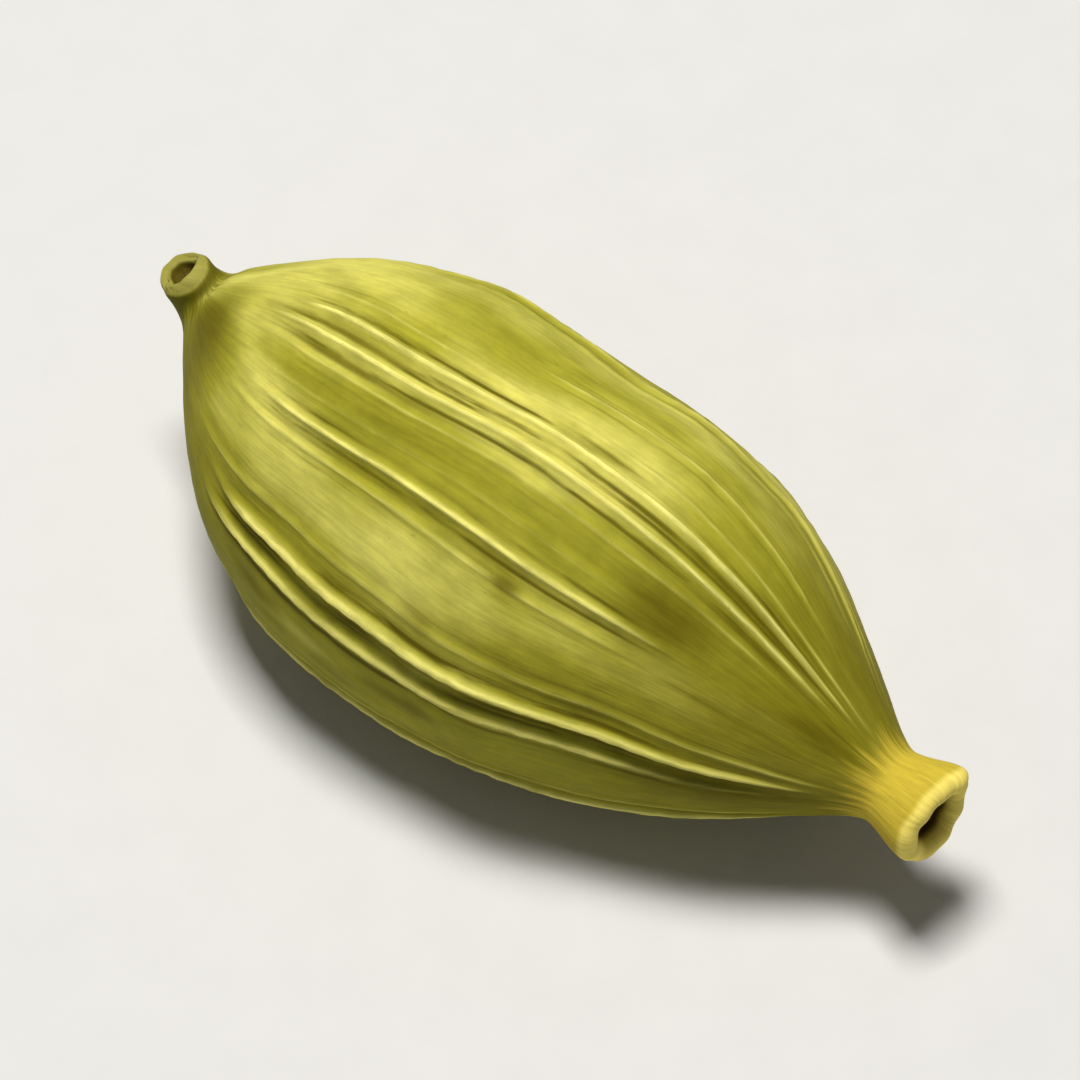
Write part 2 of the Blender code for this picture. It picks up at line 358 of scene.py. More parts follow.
# %% Lay the rings along the bent line
HOOK_LENGTH = 1.7
HOOK_POWER = 2.4
HOOK_BACK = 0.36
HOOK_UP = 0.80
HOOK_NEAR = 0.38
LEAN_END = 1.5
BELLY_NEAR = 0.50
SAG_STATIONS = (-1.5, 2.2, 6.0, 12.5)
COLLAR_NEAR = -0.07
BEAK_START = 13.0
COLLAR_TURN_START = 14.7
COLLAR_UP = 0.05
REST_PITCH = math.radians(4.5)
REST_SINK = 0.15
SLOPE_STEP = 0.01


def centre_line(along):
    """The station as x, with a hook at the stub, a sag at the belly and a turn at the collar."""
    hook = np.clip(1 - along / HOOK_LENGTH, 0.0, 1.0) ** HOOK_POWER
    belly = smooth_step(along, *SAG_STATIONS[:2]) * (1 - smooth_step(along, *SAG_STATIONS[2:]))
    beak = smooth_step(along, BEAK_START, POD_LENGTH)
    y = -HOOK_NEAR * hook - BELLY_NEAR * belly - COLLAR_NEAR * beak
    turn_up = np.clip((along - COLLAR_TURN_START) / (POD_LENGTH - COLLAR_TURN_START), 0.0, 2.0) ** 2
    return np.stack([along + HOOK_BACK * hook, y, HOOK_UP * hook + COLLAR_UP * turn_up], axis=1)


def ring_directions(along):
    """Forward, up and near side of each ring: along the line in both necks, along x in the capsule."""
    forward = centre_line(along + SLOPE_STEP) - centre_line(along - SLOPE_STEP)
    forward /= np.linalg.norm(forward, axis=1, keepdims=True)
    upright = smooth_step(along, 0.0, LEAN_END) * (1 - smooth_step(along, BEAK_START, COLLAR_TURN_START))
    forward = forward + upright[:, None] * (np.array([1.0, 0.0, 0.0]) - forward)
    forward /= np.linalg.norm(forward, axis=1, keepdims=True)
    up = np.array([0.0, 0.0, 1.0]) - forward[:, 2:] * forward
    up /= np.linalg.norm(up, axis=1, keepdims=True)
    return forward, up, np.cross(forward, up)


def on_rings(along, reach_out, around, forward_shift):
    """Points at a reach and an angle from the bent centre line, shifted along it."""
    forward, up, near = ring_directions(along)
    outward = np.cos(around)[:, :, None] * up[:, None] + np.sin(around)[:, :, None] * near[:, None]
    middle = centre_line(along)[:, None]
    return middle + reach_out[:, :, None] * outward + forward_shift[:, :, None] * forward[:, None]


cosine, sine = math.cos(REST_PITCH), math.sin(REST_PITCH)
tip = np.array([[cosine, 0.0, sine], [0.0, 1.0, 0.0], [-sine, 0.0, cosine]])
skin_points = on_rings(station, reach, turn, pushed_along * closing) @ tip.T
low, high = skin_points.min(axis=(0, 1)), skin_points.max(axis=(0, 1))
rest_shift = np.array([*(-(low[:2] + high[:2]) / 2), -low[2] - REST_SINK])
skin_points = skin_points + rest_shift
pressed = skin_points[:, :, 2] < 0
skin_points[:, :, 2] = np.maximum(skin_points[:, :, 2], 0.0)
print(int(pressed.sum()), "points are pressed flat where the pod lies")

# %% [markdown]
# ## From grid to mesh
# A grid of rings by lines closes round the pod, and its first and last rings are single points. The
# helper writes the points once, joins neighbours with four-sided faces, and fans triangles round the
# two poles. It also stores values on the points, which the materials read by name.

# %% Mesh helpers and the skin
def closed_values(values):
    """A grid of values in the same order as the points of closed_surface."""
    return np.concatenate([values[0, :1], values[1:-1].reshape(-1, *values.shape[2:]), values[-1, :1]])


def grid_faces(rings, lines, first_point):
    """Four-sided faces between rings and a fan of triangles round each pole, as lists of point numbers."""
    ring, line = np.meshgrid(np.arange(rings - 3), np.arange(lines), indexing="ij")
    following = (line + 1) % lines
    near, far = 1 + ring * lines, 1 + (ring + 1) * lines
    quads = np.stack([near + line, near + following, far + following, far + line], axis=-1).reshape(-1, 4)
    line = np.arange(lines)
    following = (line + 1) % lines
    last_ring = 1 + (rings - 3) * lines
    start_fan = np.stack([0 * line, 1 + following, 1 + line], axis=1)
    end_fan = np.stack([0 * line + last_ring + lines, last_ring + line, last_ring + following], axis=1)
    return [(faces + first_point).tolist() for faces in (quads, start_fan, end_fan)]


def closed_surface(name, grids):
    """One mesh from grids of points in millimetres, rings by lines, whose end rings are poles."""
    points, faces = [], []
    for grid in grids:
        first_point = sum(len(part) for part in points)
        points.append(closed_values(grid))
        for some in grid_faces(*grid.shape[:2], first_point):
            faces.extend(some)
    mesh = bpy.data.meshes.new(name)
    mesh.from_pydata((np.concatenate(points) * MILLIMETRE).tolist(), [], faces)
    mesh.shade_smooth()
    made = bpy.data.objects.new(name, mesh)
    bpy.context.scene.collection.objects.link(made)
    return made


def store(piece, name, values):
    """Keeps one number or one vector on each point of a piece."""
    vector = values.ndim == 2
    attribute = piece.data.attributes.new(name, "FLOAT_VECTOR" if vector else "FLOAT", "POINT")
    attribute.data.foreach_set("vector" if vector else "value", values.astype(np.float32).ravel())


pod_skin = closed_surface("pod_skin", [skin_points])
print(pod_skin.name, "has", len(pod_skin.data.vertices), "points and", len(pod_skin.data.polygons), "faces")

# %% [markdown]
# ## What the skin's colours need to know
# Colour on a pod follows its parts: pale on the crests, dark at their feet, golden on the collar and
# brown in the pits, and the dark at the feet and deep in the pits is partly painted shade. So each point
# keeps its masks, the stains and tones of this pod, its place along it, and a place in a straightened
# pod, where fibres run along one axis. A pattern stretched along that axis follows the ribs round the
# belly and into both necks. A stain or a tone is a row: its station and angle, its length, its width in
# degrees and its strength, where a tone below 0 is dark. Some stains are the pod's own bruises and
# spots, and the wide ones by the stub's neck and along the underside are painted shade. The tones are
# partly the pod's own and partly painted light on the stub's shoulder and painted shade at the neck and
# underside.

# %% Store masks and the straightened place
# Stains: most rows are the pod's own bruises and spots; the wide rows by the stub's neck and along the
# underside are painted shade.
STAINS_AND_SHADE = (
    (1.65, 32.0, 0.6, 26.0, 0.9),
    (1.5, 70.0, 0.8, 26.0, 0.5),
    (6.2, 37.3, 3.0, 1.1, 0.4),
    (6.8, 29.8, 3.0, 1.0, 0.3),
    (5.0, 93.5, 0.8, 4.0, 0.7),
    (8.3, 93.0, 0.9, 3.6, 0.65),
    (6.9, 101.0, 0.9, 3.0, 0.45),
    (8.2, 62.5, 0.35, 4.5, 0.5),
    (10.0, 61.0, 0.8, 5.0, 0.35),
    (12.2, 4.8, 2.6, 1.0, 0.75),
    (4.8, 13.2, 1.4, 1.3, 1.0),
    (4.6, 5.6, 1.8, 1.1, 0.9),
    (9.3, -2.8, 0.8, 1.0, 0.8),
    (13.3, -3.6, 1.0, 1.1, 0.6),
    (12.9, 13.0, 1.7, 1.1, 0.85),
    (14.5, 17.0, 0.6, 2.0, 0.7),
    (8.7, 39.4, 0.9, 1.0, 0.6),
    (9.2, 40.4, 0.32, 2.2, 0.9),
    (11.5, 24.0, 0.85, 10.0, 0.95),
    (12.5, 42.8, 0.8, 1.3, 0.6),
    (11.0, 66.5, 1.2, 1.8, 0.6),
    (7.0, -21.0, 0.3, 2.4, 0.4),
    (9.5, -24.0, 0.3, 2.2, 0.3),
    (14.4, 27.0, 0.8, 8.0, 0.8),
    (13.4, 84.0, 1.7, 14.0, 0.75),
    (5.2, 102.0, 4.2, 12.0, 0.3),
    (6.0, 130.0, 5.5, 22.0, 0.5),
    (10.5, 222.0, 0.5, 5.0, 0.5),
    (5.2, 296.0, 0.8, 2.0, 0.6),
)
# Tones: partly the pod's own paler and darker patches, partly painted light on the stub's shoulder and
# painted shade at the neck's crease and along the underside.
TONES_LIGHT_AND_SHADE = (
    (1.7, 44.0, 1.1, 34.0, -1.7),
    (3.0, -16.0, 2.6, 26.0, 1.0),
    (7.4, -30.0, 2.6, 12.0, 0.5),
    (6.0, 54.0, 3.0, 11.0, 1.3),
    (6.6, 5.0, 2.8, 9.0, 0.7),
    (9.4, -18.0, 3.0, 18.0, -0.6),
    (6.2, 22.0, 3.4, 7.0, -1.2),
    (10.2, 21.0, 2.2, 8.0, -1.0),
    (10.4, 60.0, 1.8, 10.0, -0.95),
    (3.0, 80.0, 2.4, 30.0, -1.1),
    (8.0, -58.0, 6.0, 14.0, -0.3),
    (9.5, 112.0, 4.0, 20.0, -1.1),
    (5.2, 120.0, 3.2, 16.0, -1.0),
    (6.4, 95.0, 1.2, 4.5, 0.9),
    (8.0, 103.0, 1.6, 4.0, 0.6),
    (8.0, 212.0, 4.0, 26.0, 0.6),
    (6.0, 262.0, 4.0, 20.0, -0.5),
)


def bells(places, along, angle):
    """A bell at each place, of its length and width. The strongest counts, and pale and dark add up."""
    found = np.zeros((2, *np.broadcast(along, angle).shape))
    for where, middle, length, width, strength in places:
        off = ((angle - middle + 180) % 360 - 180) / width
        bell = strength * np.exp(-(((along - where) / length) ** 2) - off**2)
        found = np.stack([np.maximum(found[0], bell), np.minimum(found[1], bell)])
    return found.sum(axis=0)


flat_turn = np.radians(angles)[None, :] + 0 * station[:, None]
straight = np.stack(
    [station[:, None] + 0 * flat_turn, BELLY_RADIUS * np.cos(flat_turn), BELLY_RADIUS * np.sin(flat_turn)],
    axis=-1,
)
depth_stub = smooth_step(station, 0.0, 0.5 * STUB["depth"]) * (radius < (STUB["pit"] + STUB["rim"]) / 2)
depth_collar = smooth_step(POD_LENGTH - station, 0.4 * COLLAR["lip"], 0.5 * COLLAR["depth"])
depth_collar = depth_collar * (radius < (COLLAR["pit"] + COLLAR["rim"]) / 2)
in_stub = station < BELLY_STATION
depth = np.where(in_stub, depth_stub, depth_collar) * (1 - on_body)
store(pod_skin, "crest", closed_values(crest_mask * settled[:, None]))
store(pod_skin, "foot_tone_and_shade", closed_values(foot_tone_and_shade_mask * settled[:, None]))
for name, places in (("stain_and_shade", STAINS_AND_SHADE), ("tone_light_and_shade", TONES_LIGHT_AND_SHADE)):
    found = bells(places, station[:, None], angles[None, :])
    store(pod_skin, name, closed_values(found * settled[:, None]))
store(pod_skin, "along", closed_values(station[:, None] + 0 * flat_turn))
store(pod_skin, "pit", closed_values(depth[:, None] + 0 * flat_turn))
store(pod_skin, "straight", closed_values(straight))
print("stored", [a.name for a in pod_skin.data.attributes if not a.is_internal])

# %% [markdown]
# ## Inside the two ends
# The cut stalk isn't a clean hole: its pith has shrunk to a brown button. The collar's hollow ends in
# the scar where the flower let go, with a few dry threads left standing. Each button is an egg sunk
# halfway into the pit's floor, so it needs no fitting, and each thread is a thin tube along a bent
# path.

# %% Buttons of pith
def pith_button(middle, half_length, width, lumps, phase):
    """An egg: station by minus cosine, radius by sine, with lumps as sines round it."""
    rows = np.linspace(0.0, math.pi, 25)
    around = np.linspace(0.0, 2 * math.pi, 48, endpoint=False)[None, :]
    along = middle - half_length * np.cos(rows)
    lump = 0.16 * np.sin(lumps * around + phase)
    lump = lump + 0.10 * np.sin((2 * lumps + 3) * around + 4 * rows[:, None])
    out = width * np.sin(rows)[:, None] * (1 + lump * np.sin(rows)[:, None])
    shift = 0.25 * half_length * np.sin(rows)[:, None] * np.cos(lumps * around + 2 * phase)
    return on_rings(along, out, around + 0 * rows[:, None], shift) @ tip.T + rest_shift


stub_button = pith_button(STUB["depth"], half_length=0.11, width=0.15, lumps=5, phase=0.6)
scar_station = POD_LENGTH - COLLAR["depth"]
scar_button = pith_button(scar_station, half_length=0.20, width=0.27, lumps=4, phase=2.1)
stub_pith = closed_surface("stub_pith", [stub_button])
collar_scar = closed_surface("collar_scar", [scar_button])
print("pith buttons:", stub_pith.name, collar_scar.name)

# %% [markdown]
# The threads start on the scar and lean out towards the lip. Each is turned from the last by the golden
# angle, which spreads any number of them evenly without a random draw.

# %% Dry threads in the collar
THREADS = 7
THREAD_SIDES = 8
THREAD_RADIUS = 0.026
THREAD_LENGTH = 0.42
GOLDEN_ANGLE = math.radians(137.5)


def tube(path, thickness, sides):
    """Rings of points about a path, square to it, whose thickness falls to 0 at both ends."""
    forward = np.gradient(path, axis=0)
    forward /= np.linalg.norm(forward, axis=1, keepdims=True)
    side = np.cross(forward, np.array([0.0, 0.31, 0.95]))
    side /= np.linalg.norm(side, axis=1, keepdims=True)
    other = np.cross(side, forward)
    around = np.linspace(0.0, 2 * math.pi, sides, endpoint=False)[None, :, None]
    ring = np.cos(around) * other[:, None] + np.sin(around) * side[:, None]
    return path[:, None] + thickness[:, None, None] * ring


def thread(number):
    """A path that rises from the scar towards the mouth, leaning out with the square of its height."""
    rise = np.linspace(0.0, 1.0, 14)
    length = THREAD_LENGTH + 0.16 * math.sin(2.3 * number)
    along = scar_station + 0.03 + length * rise
    out = 0.06 + 0.02 * (number % 3) + (0.10 + 0.05 * math.cos(1.7 * number)) * rise**2
    around = GOLDEN_ANGLE * number + 0.8 * math.sin(number) * rise
    path = on_rings(along, out[:, None], around[:, None], 0 * out[:, None])[:, 0] @ tip.T + rest_shift
    thickness = THREAD_RADIUS * np.sqrt(np.clip(rise * 8, 0, 1)) * (1 - rise**3)
    return tube(path, thickness, THREAD_SIDES)


collar_threads = closed_surface("collar_threads", [thread(number) for number in range(THREADS)])
print(THREADS, "threads stand in the collar")

# %% [markdown]
# ## Helpers for materials
# A material is a graph of nodes. These helpers add one node each and take numbers, colours or the
# sockets of other nodes, so that the recipe below reads from the first pattern to the last. Lengths in
# the patterns are millimetres, because the straightened place is stored in them.

# %% Node helpers
def feed(tree, socket, value):
    """Links a socket to another, or sets its number or colour."""
    if isinstance(value, bpy.types.NodeSocket):
        tree.links.new(value, socket)
    elif isinstance(value, tuple) and len(value) == 3 and socket.type == "RGBA":
        socket.default_value = (*value, 1.0)
    else:
        socket.default_value = value


def add(tree, kind, values=None, **settings):
    """One node with its settings, and its inputs given by name."""
    made = tree.nodes.new(kind)
    for name, value in settings.items():
        setattr(made, name, value)
    for name, value in (values or {}).items():
        feed(tree, made.inputs[name], value)
    return made


def calc(tree, operation, first, second=0.0):
    """One step of arithmetic."""
    made = add(tree, "ShaderNodeMath", operation=operation)
    feed(tree, made.inputs[0], first)
    feed(tree, made.inputs[1], second)
    return made.outputs[0]


def between(tree, value, low, high, start=0.0, end=1.0):
    """A smooth step of the value from low to high, giving start to end."""
    values = {"Value": value, "From Min": low, "From Max": high, "To Min": start, "To Max": end}
    return add(tree, "ShaderNodeMapRange", values, interpolation_type="SMOOTHSTEP").outputs[0]


def paint(tree, amount, under, over, way="MIX"):
    """Lays one colour over another by an amount."""
    made = add(tree, "ShaderNodeMix", data_type="RGBA", blend_type=way)
    feed(tree, made.inputs[0], amount)
    feed(tree, made.inputs[6], under)
    feed(tree, made.inputs[7], over)
    return made.outputs[2]


def kept(tree, name):
    """A value kept on the piece's points."""
    made = add(tree, "ShaderNodeAttribute", attribute_name=name)
    return made.outputs["Vector"] if name == "straight" else made.outputs["Fac"]


def stretched(tree, place, along):
    """A place with its first axis pressed together, which draws a pattern out along that axis."""
    made = add(tree, "ShaderNodeVectorMath", operation="MULTIPLY")
    feed(tree, made.inputs[0], place)
    made.inputs[1].default_value = (along, 1.0, 1.0)
    return made.outputs[0]


def noise(tree, place, scale, detail=3.0, roughness=0.55):
    """A noise from 0 to 1 at a place, with so many waves to a unit of it."""
    values = {"Vector": place, "Scale": scale, "Detail": detail, "Roughness": roughness}
    return add(tree, "ShaderNodeTexNoise", values).outputs[0]


print("node helpers are ready")

# %% [markdown]
# ## Fibre streaks
# Husk, pith and threads are all fibre, and show the same pale and dark streaks along it at different
# sizes. So the streaks are a node group, made once and placed in each material with its own scale.

# %% The fibre streaks group
def fibre_streaks():
    """Two noises drawn out along the fibre: broad streaks, and fine ones with specks between them."""
    group = bpy.data.node_groups.new("fibre streaks", "ShaderNodeTree")
    group.interface.new_socket("Place", in_out="INPUT", socket_type="NodeSocketVector")
    group.interface.new_socket("Scale", in_out="INPUT", socket_type="NodeSocketFloat")
    group.interface.new_socket("Broad", in_out="OUTPUT", socket_type="NodeSocketFloat")
    group.interface.new_socket("Fine", in_out="OUTPUT", socket_type="NodeSocketFloat")
    group.interface.new_socket("Specks", in_out="OUTPUT", socket_type="NodeSocketFloat")
    given = group.nodes.new("NodeGroupInput")
    result = group.nodes.new("NodeGroupOutput")
    scale = given.outputs["Scale"]
    broad = noise(group, stretched(group, given.outputs["Place"], 0.14), scale, 3.0)
    fine_scale = calc(group, "MULTIPLY", scale, 3.6)
    fine = noise(group, stretched(group, given.outputs["Place"], 0.10), fine_scale, 4.0)
    speck_scale = calc(group, "MULTIPLY", scale, 3.0)
    specks = noise(group, stretched(group, given.outputs["Place"], 0.55), speck_scale, 2.0)
    feed(group, result.inputs["Broad"], between(group, broad, 0.30, 0.70))
    feed(group, result.inputs["Fine"], between(group, fine, 0.30, 0.70))
    feed(group, result.inputs["Specks"], between(group, specks, 0.70, 0.80))
    return group


streaks_group = fibre_streaks()


def streaks(tree, place, scale):
    """The group placed in a material."""
    made = add(tree, "ShaderNodeGroup", node_tree=streaks_group)
    feed(tree, made.inputs["Place"], place)
    feed(tree, made.inputs["Scale"], scale)
    return made.outputs["Broad"], made.outputs["Fine"], made.outputs["Specks"]


print("made the group", streaks_group.name)

# %% [markdown]
# ## The husk
# A dried green pod is straw yellow where the skin is stretched over a rib, olive in the hollows, and
# brown where it was bruised; part of that olive and brown is painted shade. One flat green would look
# like plastic. The recipe starts with the panels and lays painted shade at the beak, the dark feet,
# crests, stains and both ends over them.

# %% Colour of the husk
PANEL_OLIVE = (0.322, 0.302, 0.025)
PANEL_STRAW = (0.605, 0.563, 0.112)
# Deep olive: the pod's own patches, and painted shade at the beak and under dark tones.
DEEP_OLIVE = (0.175, 0.155, 0.005)
CREST_STRAW = (0.78, 0.72, 0.20)
# Olive of the feet of the ribs: partly the husk's own, partly painted shade.
FOOT_OLIVE_AND_SHADE = (0.115, 0.096, 0.004)
# Brown of bruises and specks, also laid as the stains' painted shade.
BRUISE_AND_SHADE_BROWN = (0.125, 0.105, 0.003)
COLLAR_GOLD = (0.54, 0.41, 0.040)
RIM_GOLD = (0.85, 0.70, 0.15)
# Stub olive: the stalk's own darker colour, deepened as painted shade.
STUB_OLIVE_AND_SHADE = (0.105, 0.094, 0.002)
# The pits' olive and brown, darkened as painted shade.
PIT_BROWN_AND_SHADE = (0.075, 0.043, 0.005)
PIT_OLIVE_AND_SHADE = (0.10, 0.078, 0.007)
CLOUD_SCALE = 0.42
PATCH_SCALE = 0.9
BEAK_SHADE_STATIONS = (10.0, 14.4)


def husk_colour(tree, place, broad, fine, specks):
    """Panels, then painted shade at the beak, dark feet with painted shade, crests, stains and specks."""
    along = kept(tree, "along")
    crest, foot_tone_and_shade, stain_and_shade = kept(tree, "crest"), kept(tree, "foot_tone_and_shade"), kept(tree, "stain_and_shade")
    cloud = noise(tree, stretched(tree, place, 0.55), CLOUD_SCALE, 2.0)
    # Tones, partly painted light and shade, lift or lower the panels' cloud, and dark tones lay deep olive.
    tone_light_and_shade = kept(tree, "tone_light_and_shade")
    cloud = calc(tree, "ADD", cloud, calc(tree, "MULTIPLY", tone_light_and_shade, 0.22))
    colour = paint(tree, between(tree, cloud, 0.38, 0.68), PANEL_OLIVE, PANEL_STRAW)
    colour = paint(tree, between(tree, tone_light_and_shade, -0.3, -1.4, 0.0, 0.6), colour, DEEP_OLIVE)
    patch = noise(tree, stretched(tree, place, 0.45), PATCH_SCALE, 3.0)
    colour = paint(tree, between(tree, patch, 0.54, 0.74, 0.0, 0.40), colour, DEEP_OLIVE)
    # Painted shade: off the crests, the panels darken to deep olive towards the beak.
    off_crest = between(tree, crest, 0.0, 0.35, 0.9, 0.1)
    beak = calc(tree, "MULTIPLY", between(tree, along, *BEAK_SHADE_STATIONS), off_crest)
    colour = paint(tree, beak, colour, DEEP_OLIVE)
    # Feet of the ribs: partly the husk's own darker grooves, partly painted shade in them.
    broken = between(tree, broad, 0.1, 0.75, 0.3, 1.0)
    foot_dark_and_shade = calc(tree, "MULTIPLY", between(tree, foot_tone_and_shade, 0.15, 0.75), broken)
    colour = paint(tree, foot_dark_and_shade, colour, FOOT_OLIVE_AND_SHADE)
    pale = between(tree, crest, 0.15, 0.75, 0.0, 0.9)
    pale = calc(tree, "MULTIPLY", pale, between(tree, fine, 0.0, 0.8, 0.55, 1.0))
    colour = paint(tree, pale, colour, CREST_STRAW)
    # Stains: bruises and spots, and painted shade by the stub's neck and along the underside.
    colour = paint(tree, between(tree, stain_and_shade, 0.0, 0.9, 0.0, 0.85), colour, BRUISE_AND_SHADE_BROWN)
    return paint(tree, calc(tree, "MULTIPLY", specks, 0.30), colour, BRUISE_AND_SHADE_BROWN)


print("the husk runs from", DEEP_OLIVE, "to", CREST_STRAW)

# %% [markdown]
# The stub is a darker olive, partly its own and partly painted shade, with a paler cut rim, and its
# hollow is olive brown. The collar is golden, brightest on its lip, and brown inside. Both hollows
# darken with depth as painted shade. Each is a smooth step along the pod or into the pit, and the
# two along the necks are broken by the streaks.

# %% Colour of the two ends, and the whole husk material
STUB_DARK_AND_SHADE_STATIONS = (1.2, 0.4)
STUB_RIM_STATIONS = (0.10, 0.02)
COLLAR_GOLD_STATIONS = (14.7, 15.4)
COLLAR_RIM_STATIONS = (16.1, 16.25)
STREAK_SCALE = 3.2
MOTTLE_SCALE = 2.6
BUMP_DISTANCE = 0.02 * MILLIMETRE


def end_colours(tree, colour, broad):
    """Stub, collar, their rims and their pits over the husk's colour; the pits darken with depth as painted
    shade.
    """
    along, pit = kept(tree, "along"), kept(tree, "pit")
    worn = calc(tree, "MULTIPLY", calc(tree, "SUBTRACT", broad, 0.5), 0.5)
    moved = calc(tree, "ADD", along, worn)
    # First the stub's darker olive, partly painted shade, then the rims and the collar's gold.
    for place, stations, amount, laid in (
        (moved, STUB_DARK_AND_SHADE_STATIONS, 0.85, STUB_OLIVE_AND_SHADE),
        (along, STUB_RIM_STATIONS, 0.25, CREST_STRAW),
        (moved, COLLAR_GOLD_STATIONS, 0.95, COLLAR_GOLD),
        (along, COLLAR_RIM_STATIONS, 0.9, RIM_GOLD),
    ):
        colour = paint(tree, between(tree, place, *stations, 0.0, amount), colour, laid)
    # Painted shade: the pits turn to dark olive and brown the deeper they go.
    past_belly = between(tree, along, BELLY_STATION, BELLY_STATION + 1)
    inside = paint(tree, past_belly, PIT_OLIVE_AND_SHADE, PIT_BROWN_AND_SHADE)
    return paint(tree, between(tree, pit, 0.0, 0.6), colour, inside)


def new_material(name):
    """A material with nodes, its tree and its Principled shader."""
    made = bpy.data.materials.new(name)
    made.use_nodes = True
    return made, made.node_tree, made.node_tree.nodes["Principled BSDF"]


def husk_material():
    """The husk's colours over the streaks and a faint mottle, with the streaks as bump too."""
    material, tree, shader = new_material("dried_green_husk")
    place = kept(tree, "straight")
    broad, fine, specks = streaks(tree, place, STREAK_SCALE)
    colour = husk_colour(tree, place, broad, fine, specks)
    mottle = noise(tree, stretched(tree, place, 0.7), MOTTLE_SCALE, 5.0, 0.62)
    shade = between(tree, mottle, 0.30, 0.70, 0.90, 1.08)
    shade = calc(tree, "MULTIPLY", shade, between(tree, fine, 0.0, 1.0, 0.93, 1.06))
    colour = paint(tree, 1.0, end_colours(tree, colour, broad), shade, "MULTIPLY")
    feed(tree, shader.inputs["Base Color"], colour)
    feed(tree, shader.inputs["Roughness"], between(tree, fine, 0.0, 1.0, 0.62, 0.80))
    shader.inputs["Specular IOR Level"].default_value = 0.06
    height = calc(tree, "ADD", calc(tree, "MULTIPLY", broad, 0.6), calc(tree, "MULTIPLY", fine, 0.5))
    bump = add(tree, "ShaderNodeBump", {"Height": height, "Strength": 0.35, "Distance": BUMP_DISTANCE})
    feed(tree, shader.inputs["Normal"], bump.outputs["Normal"])
    return material


pod_skin.data.materials.append(husk_material())
print("the husk's material has", len(pod_skin.data.materials[0].node_tree.nodes), "nodes")

# %% [markdown]
# ## Pith and threads
# Both are dead fibre, browner and rougher than the husk. They share one recipe with different colours
# and scales. They read Object coordinates, in metres, so the scale of their streaks is per metre.

# %% Brown fibre materials
def fibre_material(name, dark, light, scale):
    """Streaks between two browns, with the same streaks as bump."""
    material, tree, shader = new_material(name)
    place = add(tree, "ShaderNodeTexCoord").outputs["Object"]
    broad, fine, specks = streaks(tree, place, scale)
    colour = paint(tree, calc(tree, "MULTIPLY", calc(tree, "ADD", broad, fine), 0.5), dark, light)
    feed(tree, shader.inputs["Base Color"], paint(tree, specks, colour, dark))
    feed(tree, shader.inputs["Roughness"], between(tree, fine, 0.0, 1.0, 0.70, 0.90))
    bump = add(tree, "ShaderNodeBump", {"Height": fine, "Strength": 0.8, "Distance": BUMP_DISTANCE})
    feed(tree, shader.inputs["Normal"], bump.outputs["Normal"])
    return material


PITH_DARK = (0.035, 0.018, 0.004)
PITH_LIGHT = (0.20, 0.125, 0.030)
THREAD_DARK = (0.16, 0.095, 0.018)
THREAD_LIGHT = (0.46, 0.33, 0.085)
pith_brown = fibre_material("pith_brown", PITH_DARK, PITH_LIGHT, scale=7000.0)
thread_straw = fibre_material("thread_straw", THREAD_DARK, THREAD_LIGHT, scale=9000.0)
stub_pith.data.materials.append(pith_brown)
collar_scar.data.materials.append(pith_brown)
collar_threads.data.materials.append(thread_straw)
print("brown fibre:", pith_brown.name, thread_straw.name)

# %% [markdown]
# ## Joining the pieces to the frame
# Everything rides on the pod's one body. The skin stands for the plain solid, which is hidden, and the
# small pieces in the two ends go with it.

# %% Ride and replace
for piece in (pod_skin, stub_pith, collar_scar, collar_threads):
    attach(piece, "root")
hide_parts("cardamom_pod")

# %% [markdown]
# ## Floor
# A pale floor with no edge in view keeps the eye on the pod and throws light back under it. A plane
# would do, and it gets a faint grain, because a perfectly even floor looks like no floor at all.

# %% Pale floor
FLOOR_SIZE = 3.0
FLOOR_GREYS = ((0.585, 0.585, 0.575), (0.62, 0.62, 0.61))
FLOOR_GRAIN_SCALE = 900.0

floor_mesh = bpy.data.meshes.new("floor")
half = FLOOR_SIZE / 2
floor_corners = [(-half, -half, 0), (half, -half, 0), (half, half, 0), (-half, half, 0)]
floor_mesh.from_pydata(floor_corners, [], [(0, 1, 2, 3)])
floor = bpy.data.objects.new("floor", floor_mesh)
bpy.context.scene.collection.objects.link(floor)
floor_paint, floor_tree, floor_shader = new_material("pale_floor")
floor_place = add(floor_tree, "ShaderNodeTexCoord").outputs["Object"]
floor_grain = noise(floor_tree, floor_place, FLOOR_GRAIN_SCALE)
floor_colour = paint(floor_tree, floor_grain, *FLOOR_GREYS)
feed(floor_tree, floor_shader.inputs["Base Color"], floor_colour)
feed(floor_tree, floor_shader.inputs["Roughness"], 0.8)
floor_mesh.materials.append(floor_paint)
floor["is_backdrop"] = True
print("the floor is", FLOOR_SIZE, "m wide")

# %% [markdown]
# ## Light
# The pod is lit from above by a large soft source, a little from the stub's side, so that ribs have a
# light and a dark flank. The world fills the shadows. Lamps this close to so small a thing need well
# under a watt.

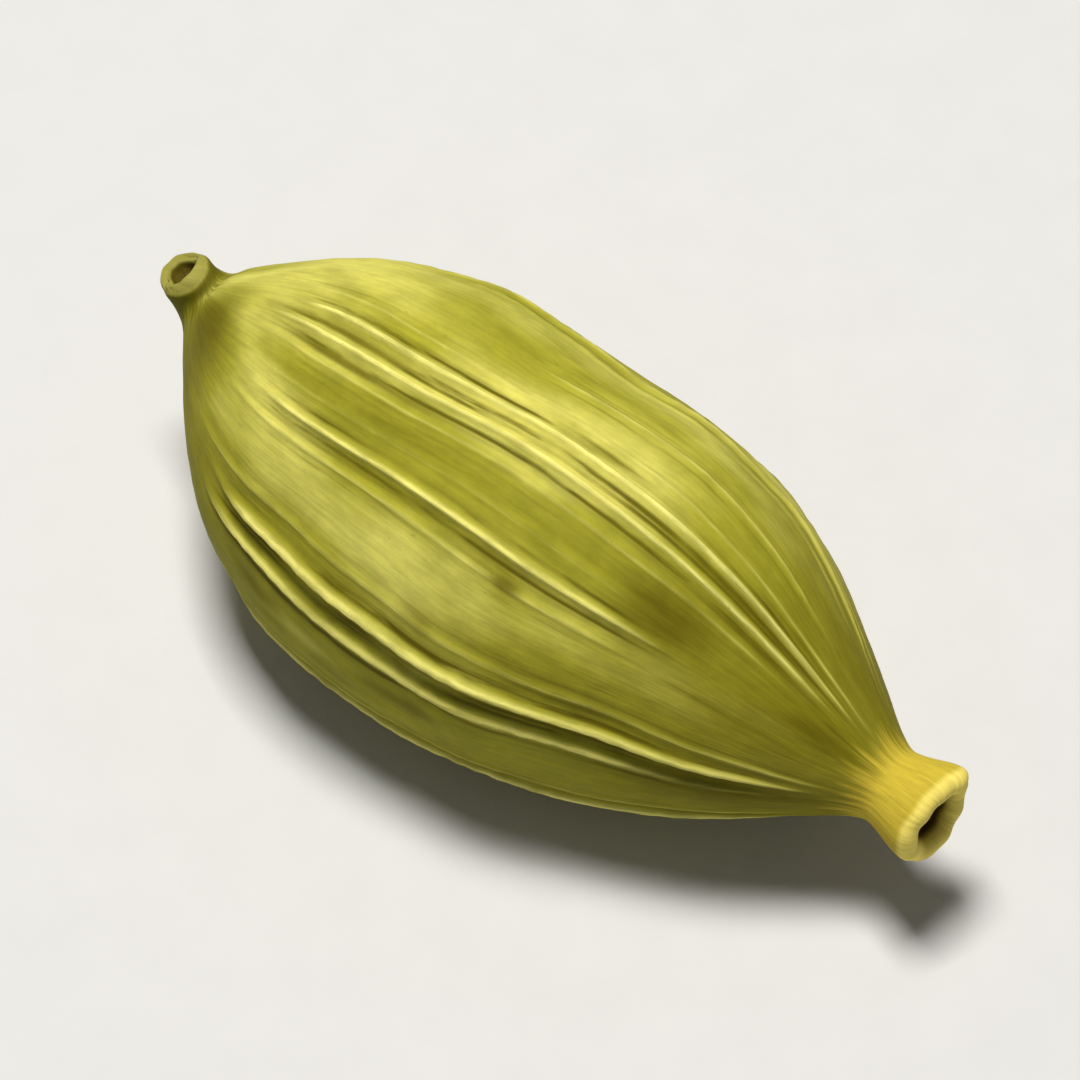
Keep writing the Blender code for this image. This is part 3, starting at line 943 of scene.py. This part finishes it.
# %% Soft studio light
def soft_lamp(name, place, size, power, colour):
    """A square area lamp that faces the pod."""
    lamp = bpy.data.lights.new(name, "AREA")
    lamp.size = size
    lamp.energy = power
    lamp.color = colour
    made = bpy.data.objects.new(name, lamp)
    made.location = place
    made.rotation_mode = "QUATERNION"
    made.rotation_quaternion = Vector(place).to_track_quat("Z", "Y")
    bpy.context.scene.collection.objects.link(made)
    return made


KEY_PLACE = (-0.018, 0.008, 0.178)
FILL_PLACE = (0.080, -0.150, 0.080)
ROOM_STRENGTH = 0.12
soft_lamp("key", KEY_PLACE, size=0.05, power=0.41, colour=(1.0, 0.98, 0.94))
soft_lamp("fill", FILL_PLACE, size=0.12, power=0.012, colour=(0.95, 0.98, 1.0))
world = bpy.data.worlds.new("soft_room")
world.use_nodes = True
world.node_tree.nodes["Background"].inputs["Color"].default_value = (1.0, 1.0, 1.0, 1.0)
world.node_tree.nodes["Background"].inputs["Strength"].default_value = ROOM_STRENGTH
bpy.context.scene.world = world
bpy.context.scene.view_settings.view_transform = "Standard"
print("two lamps and a soft room")

# %% [markdown]
# ## Camera
# The camera looks down on the pod with the collar at the lower right. A long lens from far away keeps
# both ends in true proportion. Azimuth 0 looks along +Y, and a small roll turns the picture level.

# %% Camera at the viewing angle
AZIMUTH = math.radians(44.17)
ELEVATION = math.radians(55.04)
ROLL = math.radians(-3.82)
LENS = 200.0
SENSOR = 36.0
FRAME_WIDTH = 17.8 * MILLIMETRE

low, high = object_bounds()
target = (low + high) / 2
back = Vector(
    (math.sin(AZIMUTH) * math.cos(ELEVATION), -math.cos(AZIMUTH) * math.cos(ELEVATION), math.sin(ELEVATION))
)
level = Vector((math.cos(AZIMUTH), math.sin(AZIMUTH), 0.0))
right = math.cos(ROLL) * level + math.sin(ROLL) * back.cross(level)
up = back.cross(right)
distance = FRAME_WIDTH * LENS / SENSOR
camera_data = bpy.data.cameras.new("camera")
camera_data.lens = LENS
camera_data.sensor_width = SENSOR
camera_data.clip_start = 0.001
camera = bpy.data.objects.new("camera", camera_data)
turned = Matrix((right, up, back)).transposed().to_4x4()
camera.matrix_world = Matrix.Translation(target + back * distance) @ turned
bpy.context.scene.collection.objects.link(camera)
bpy.context.scene.camera = camera
print("the camera is", round(distance * 1000), "mm away")
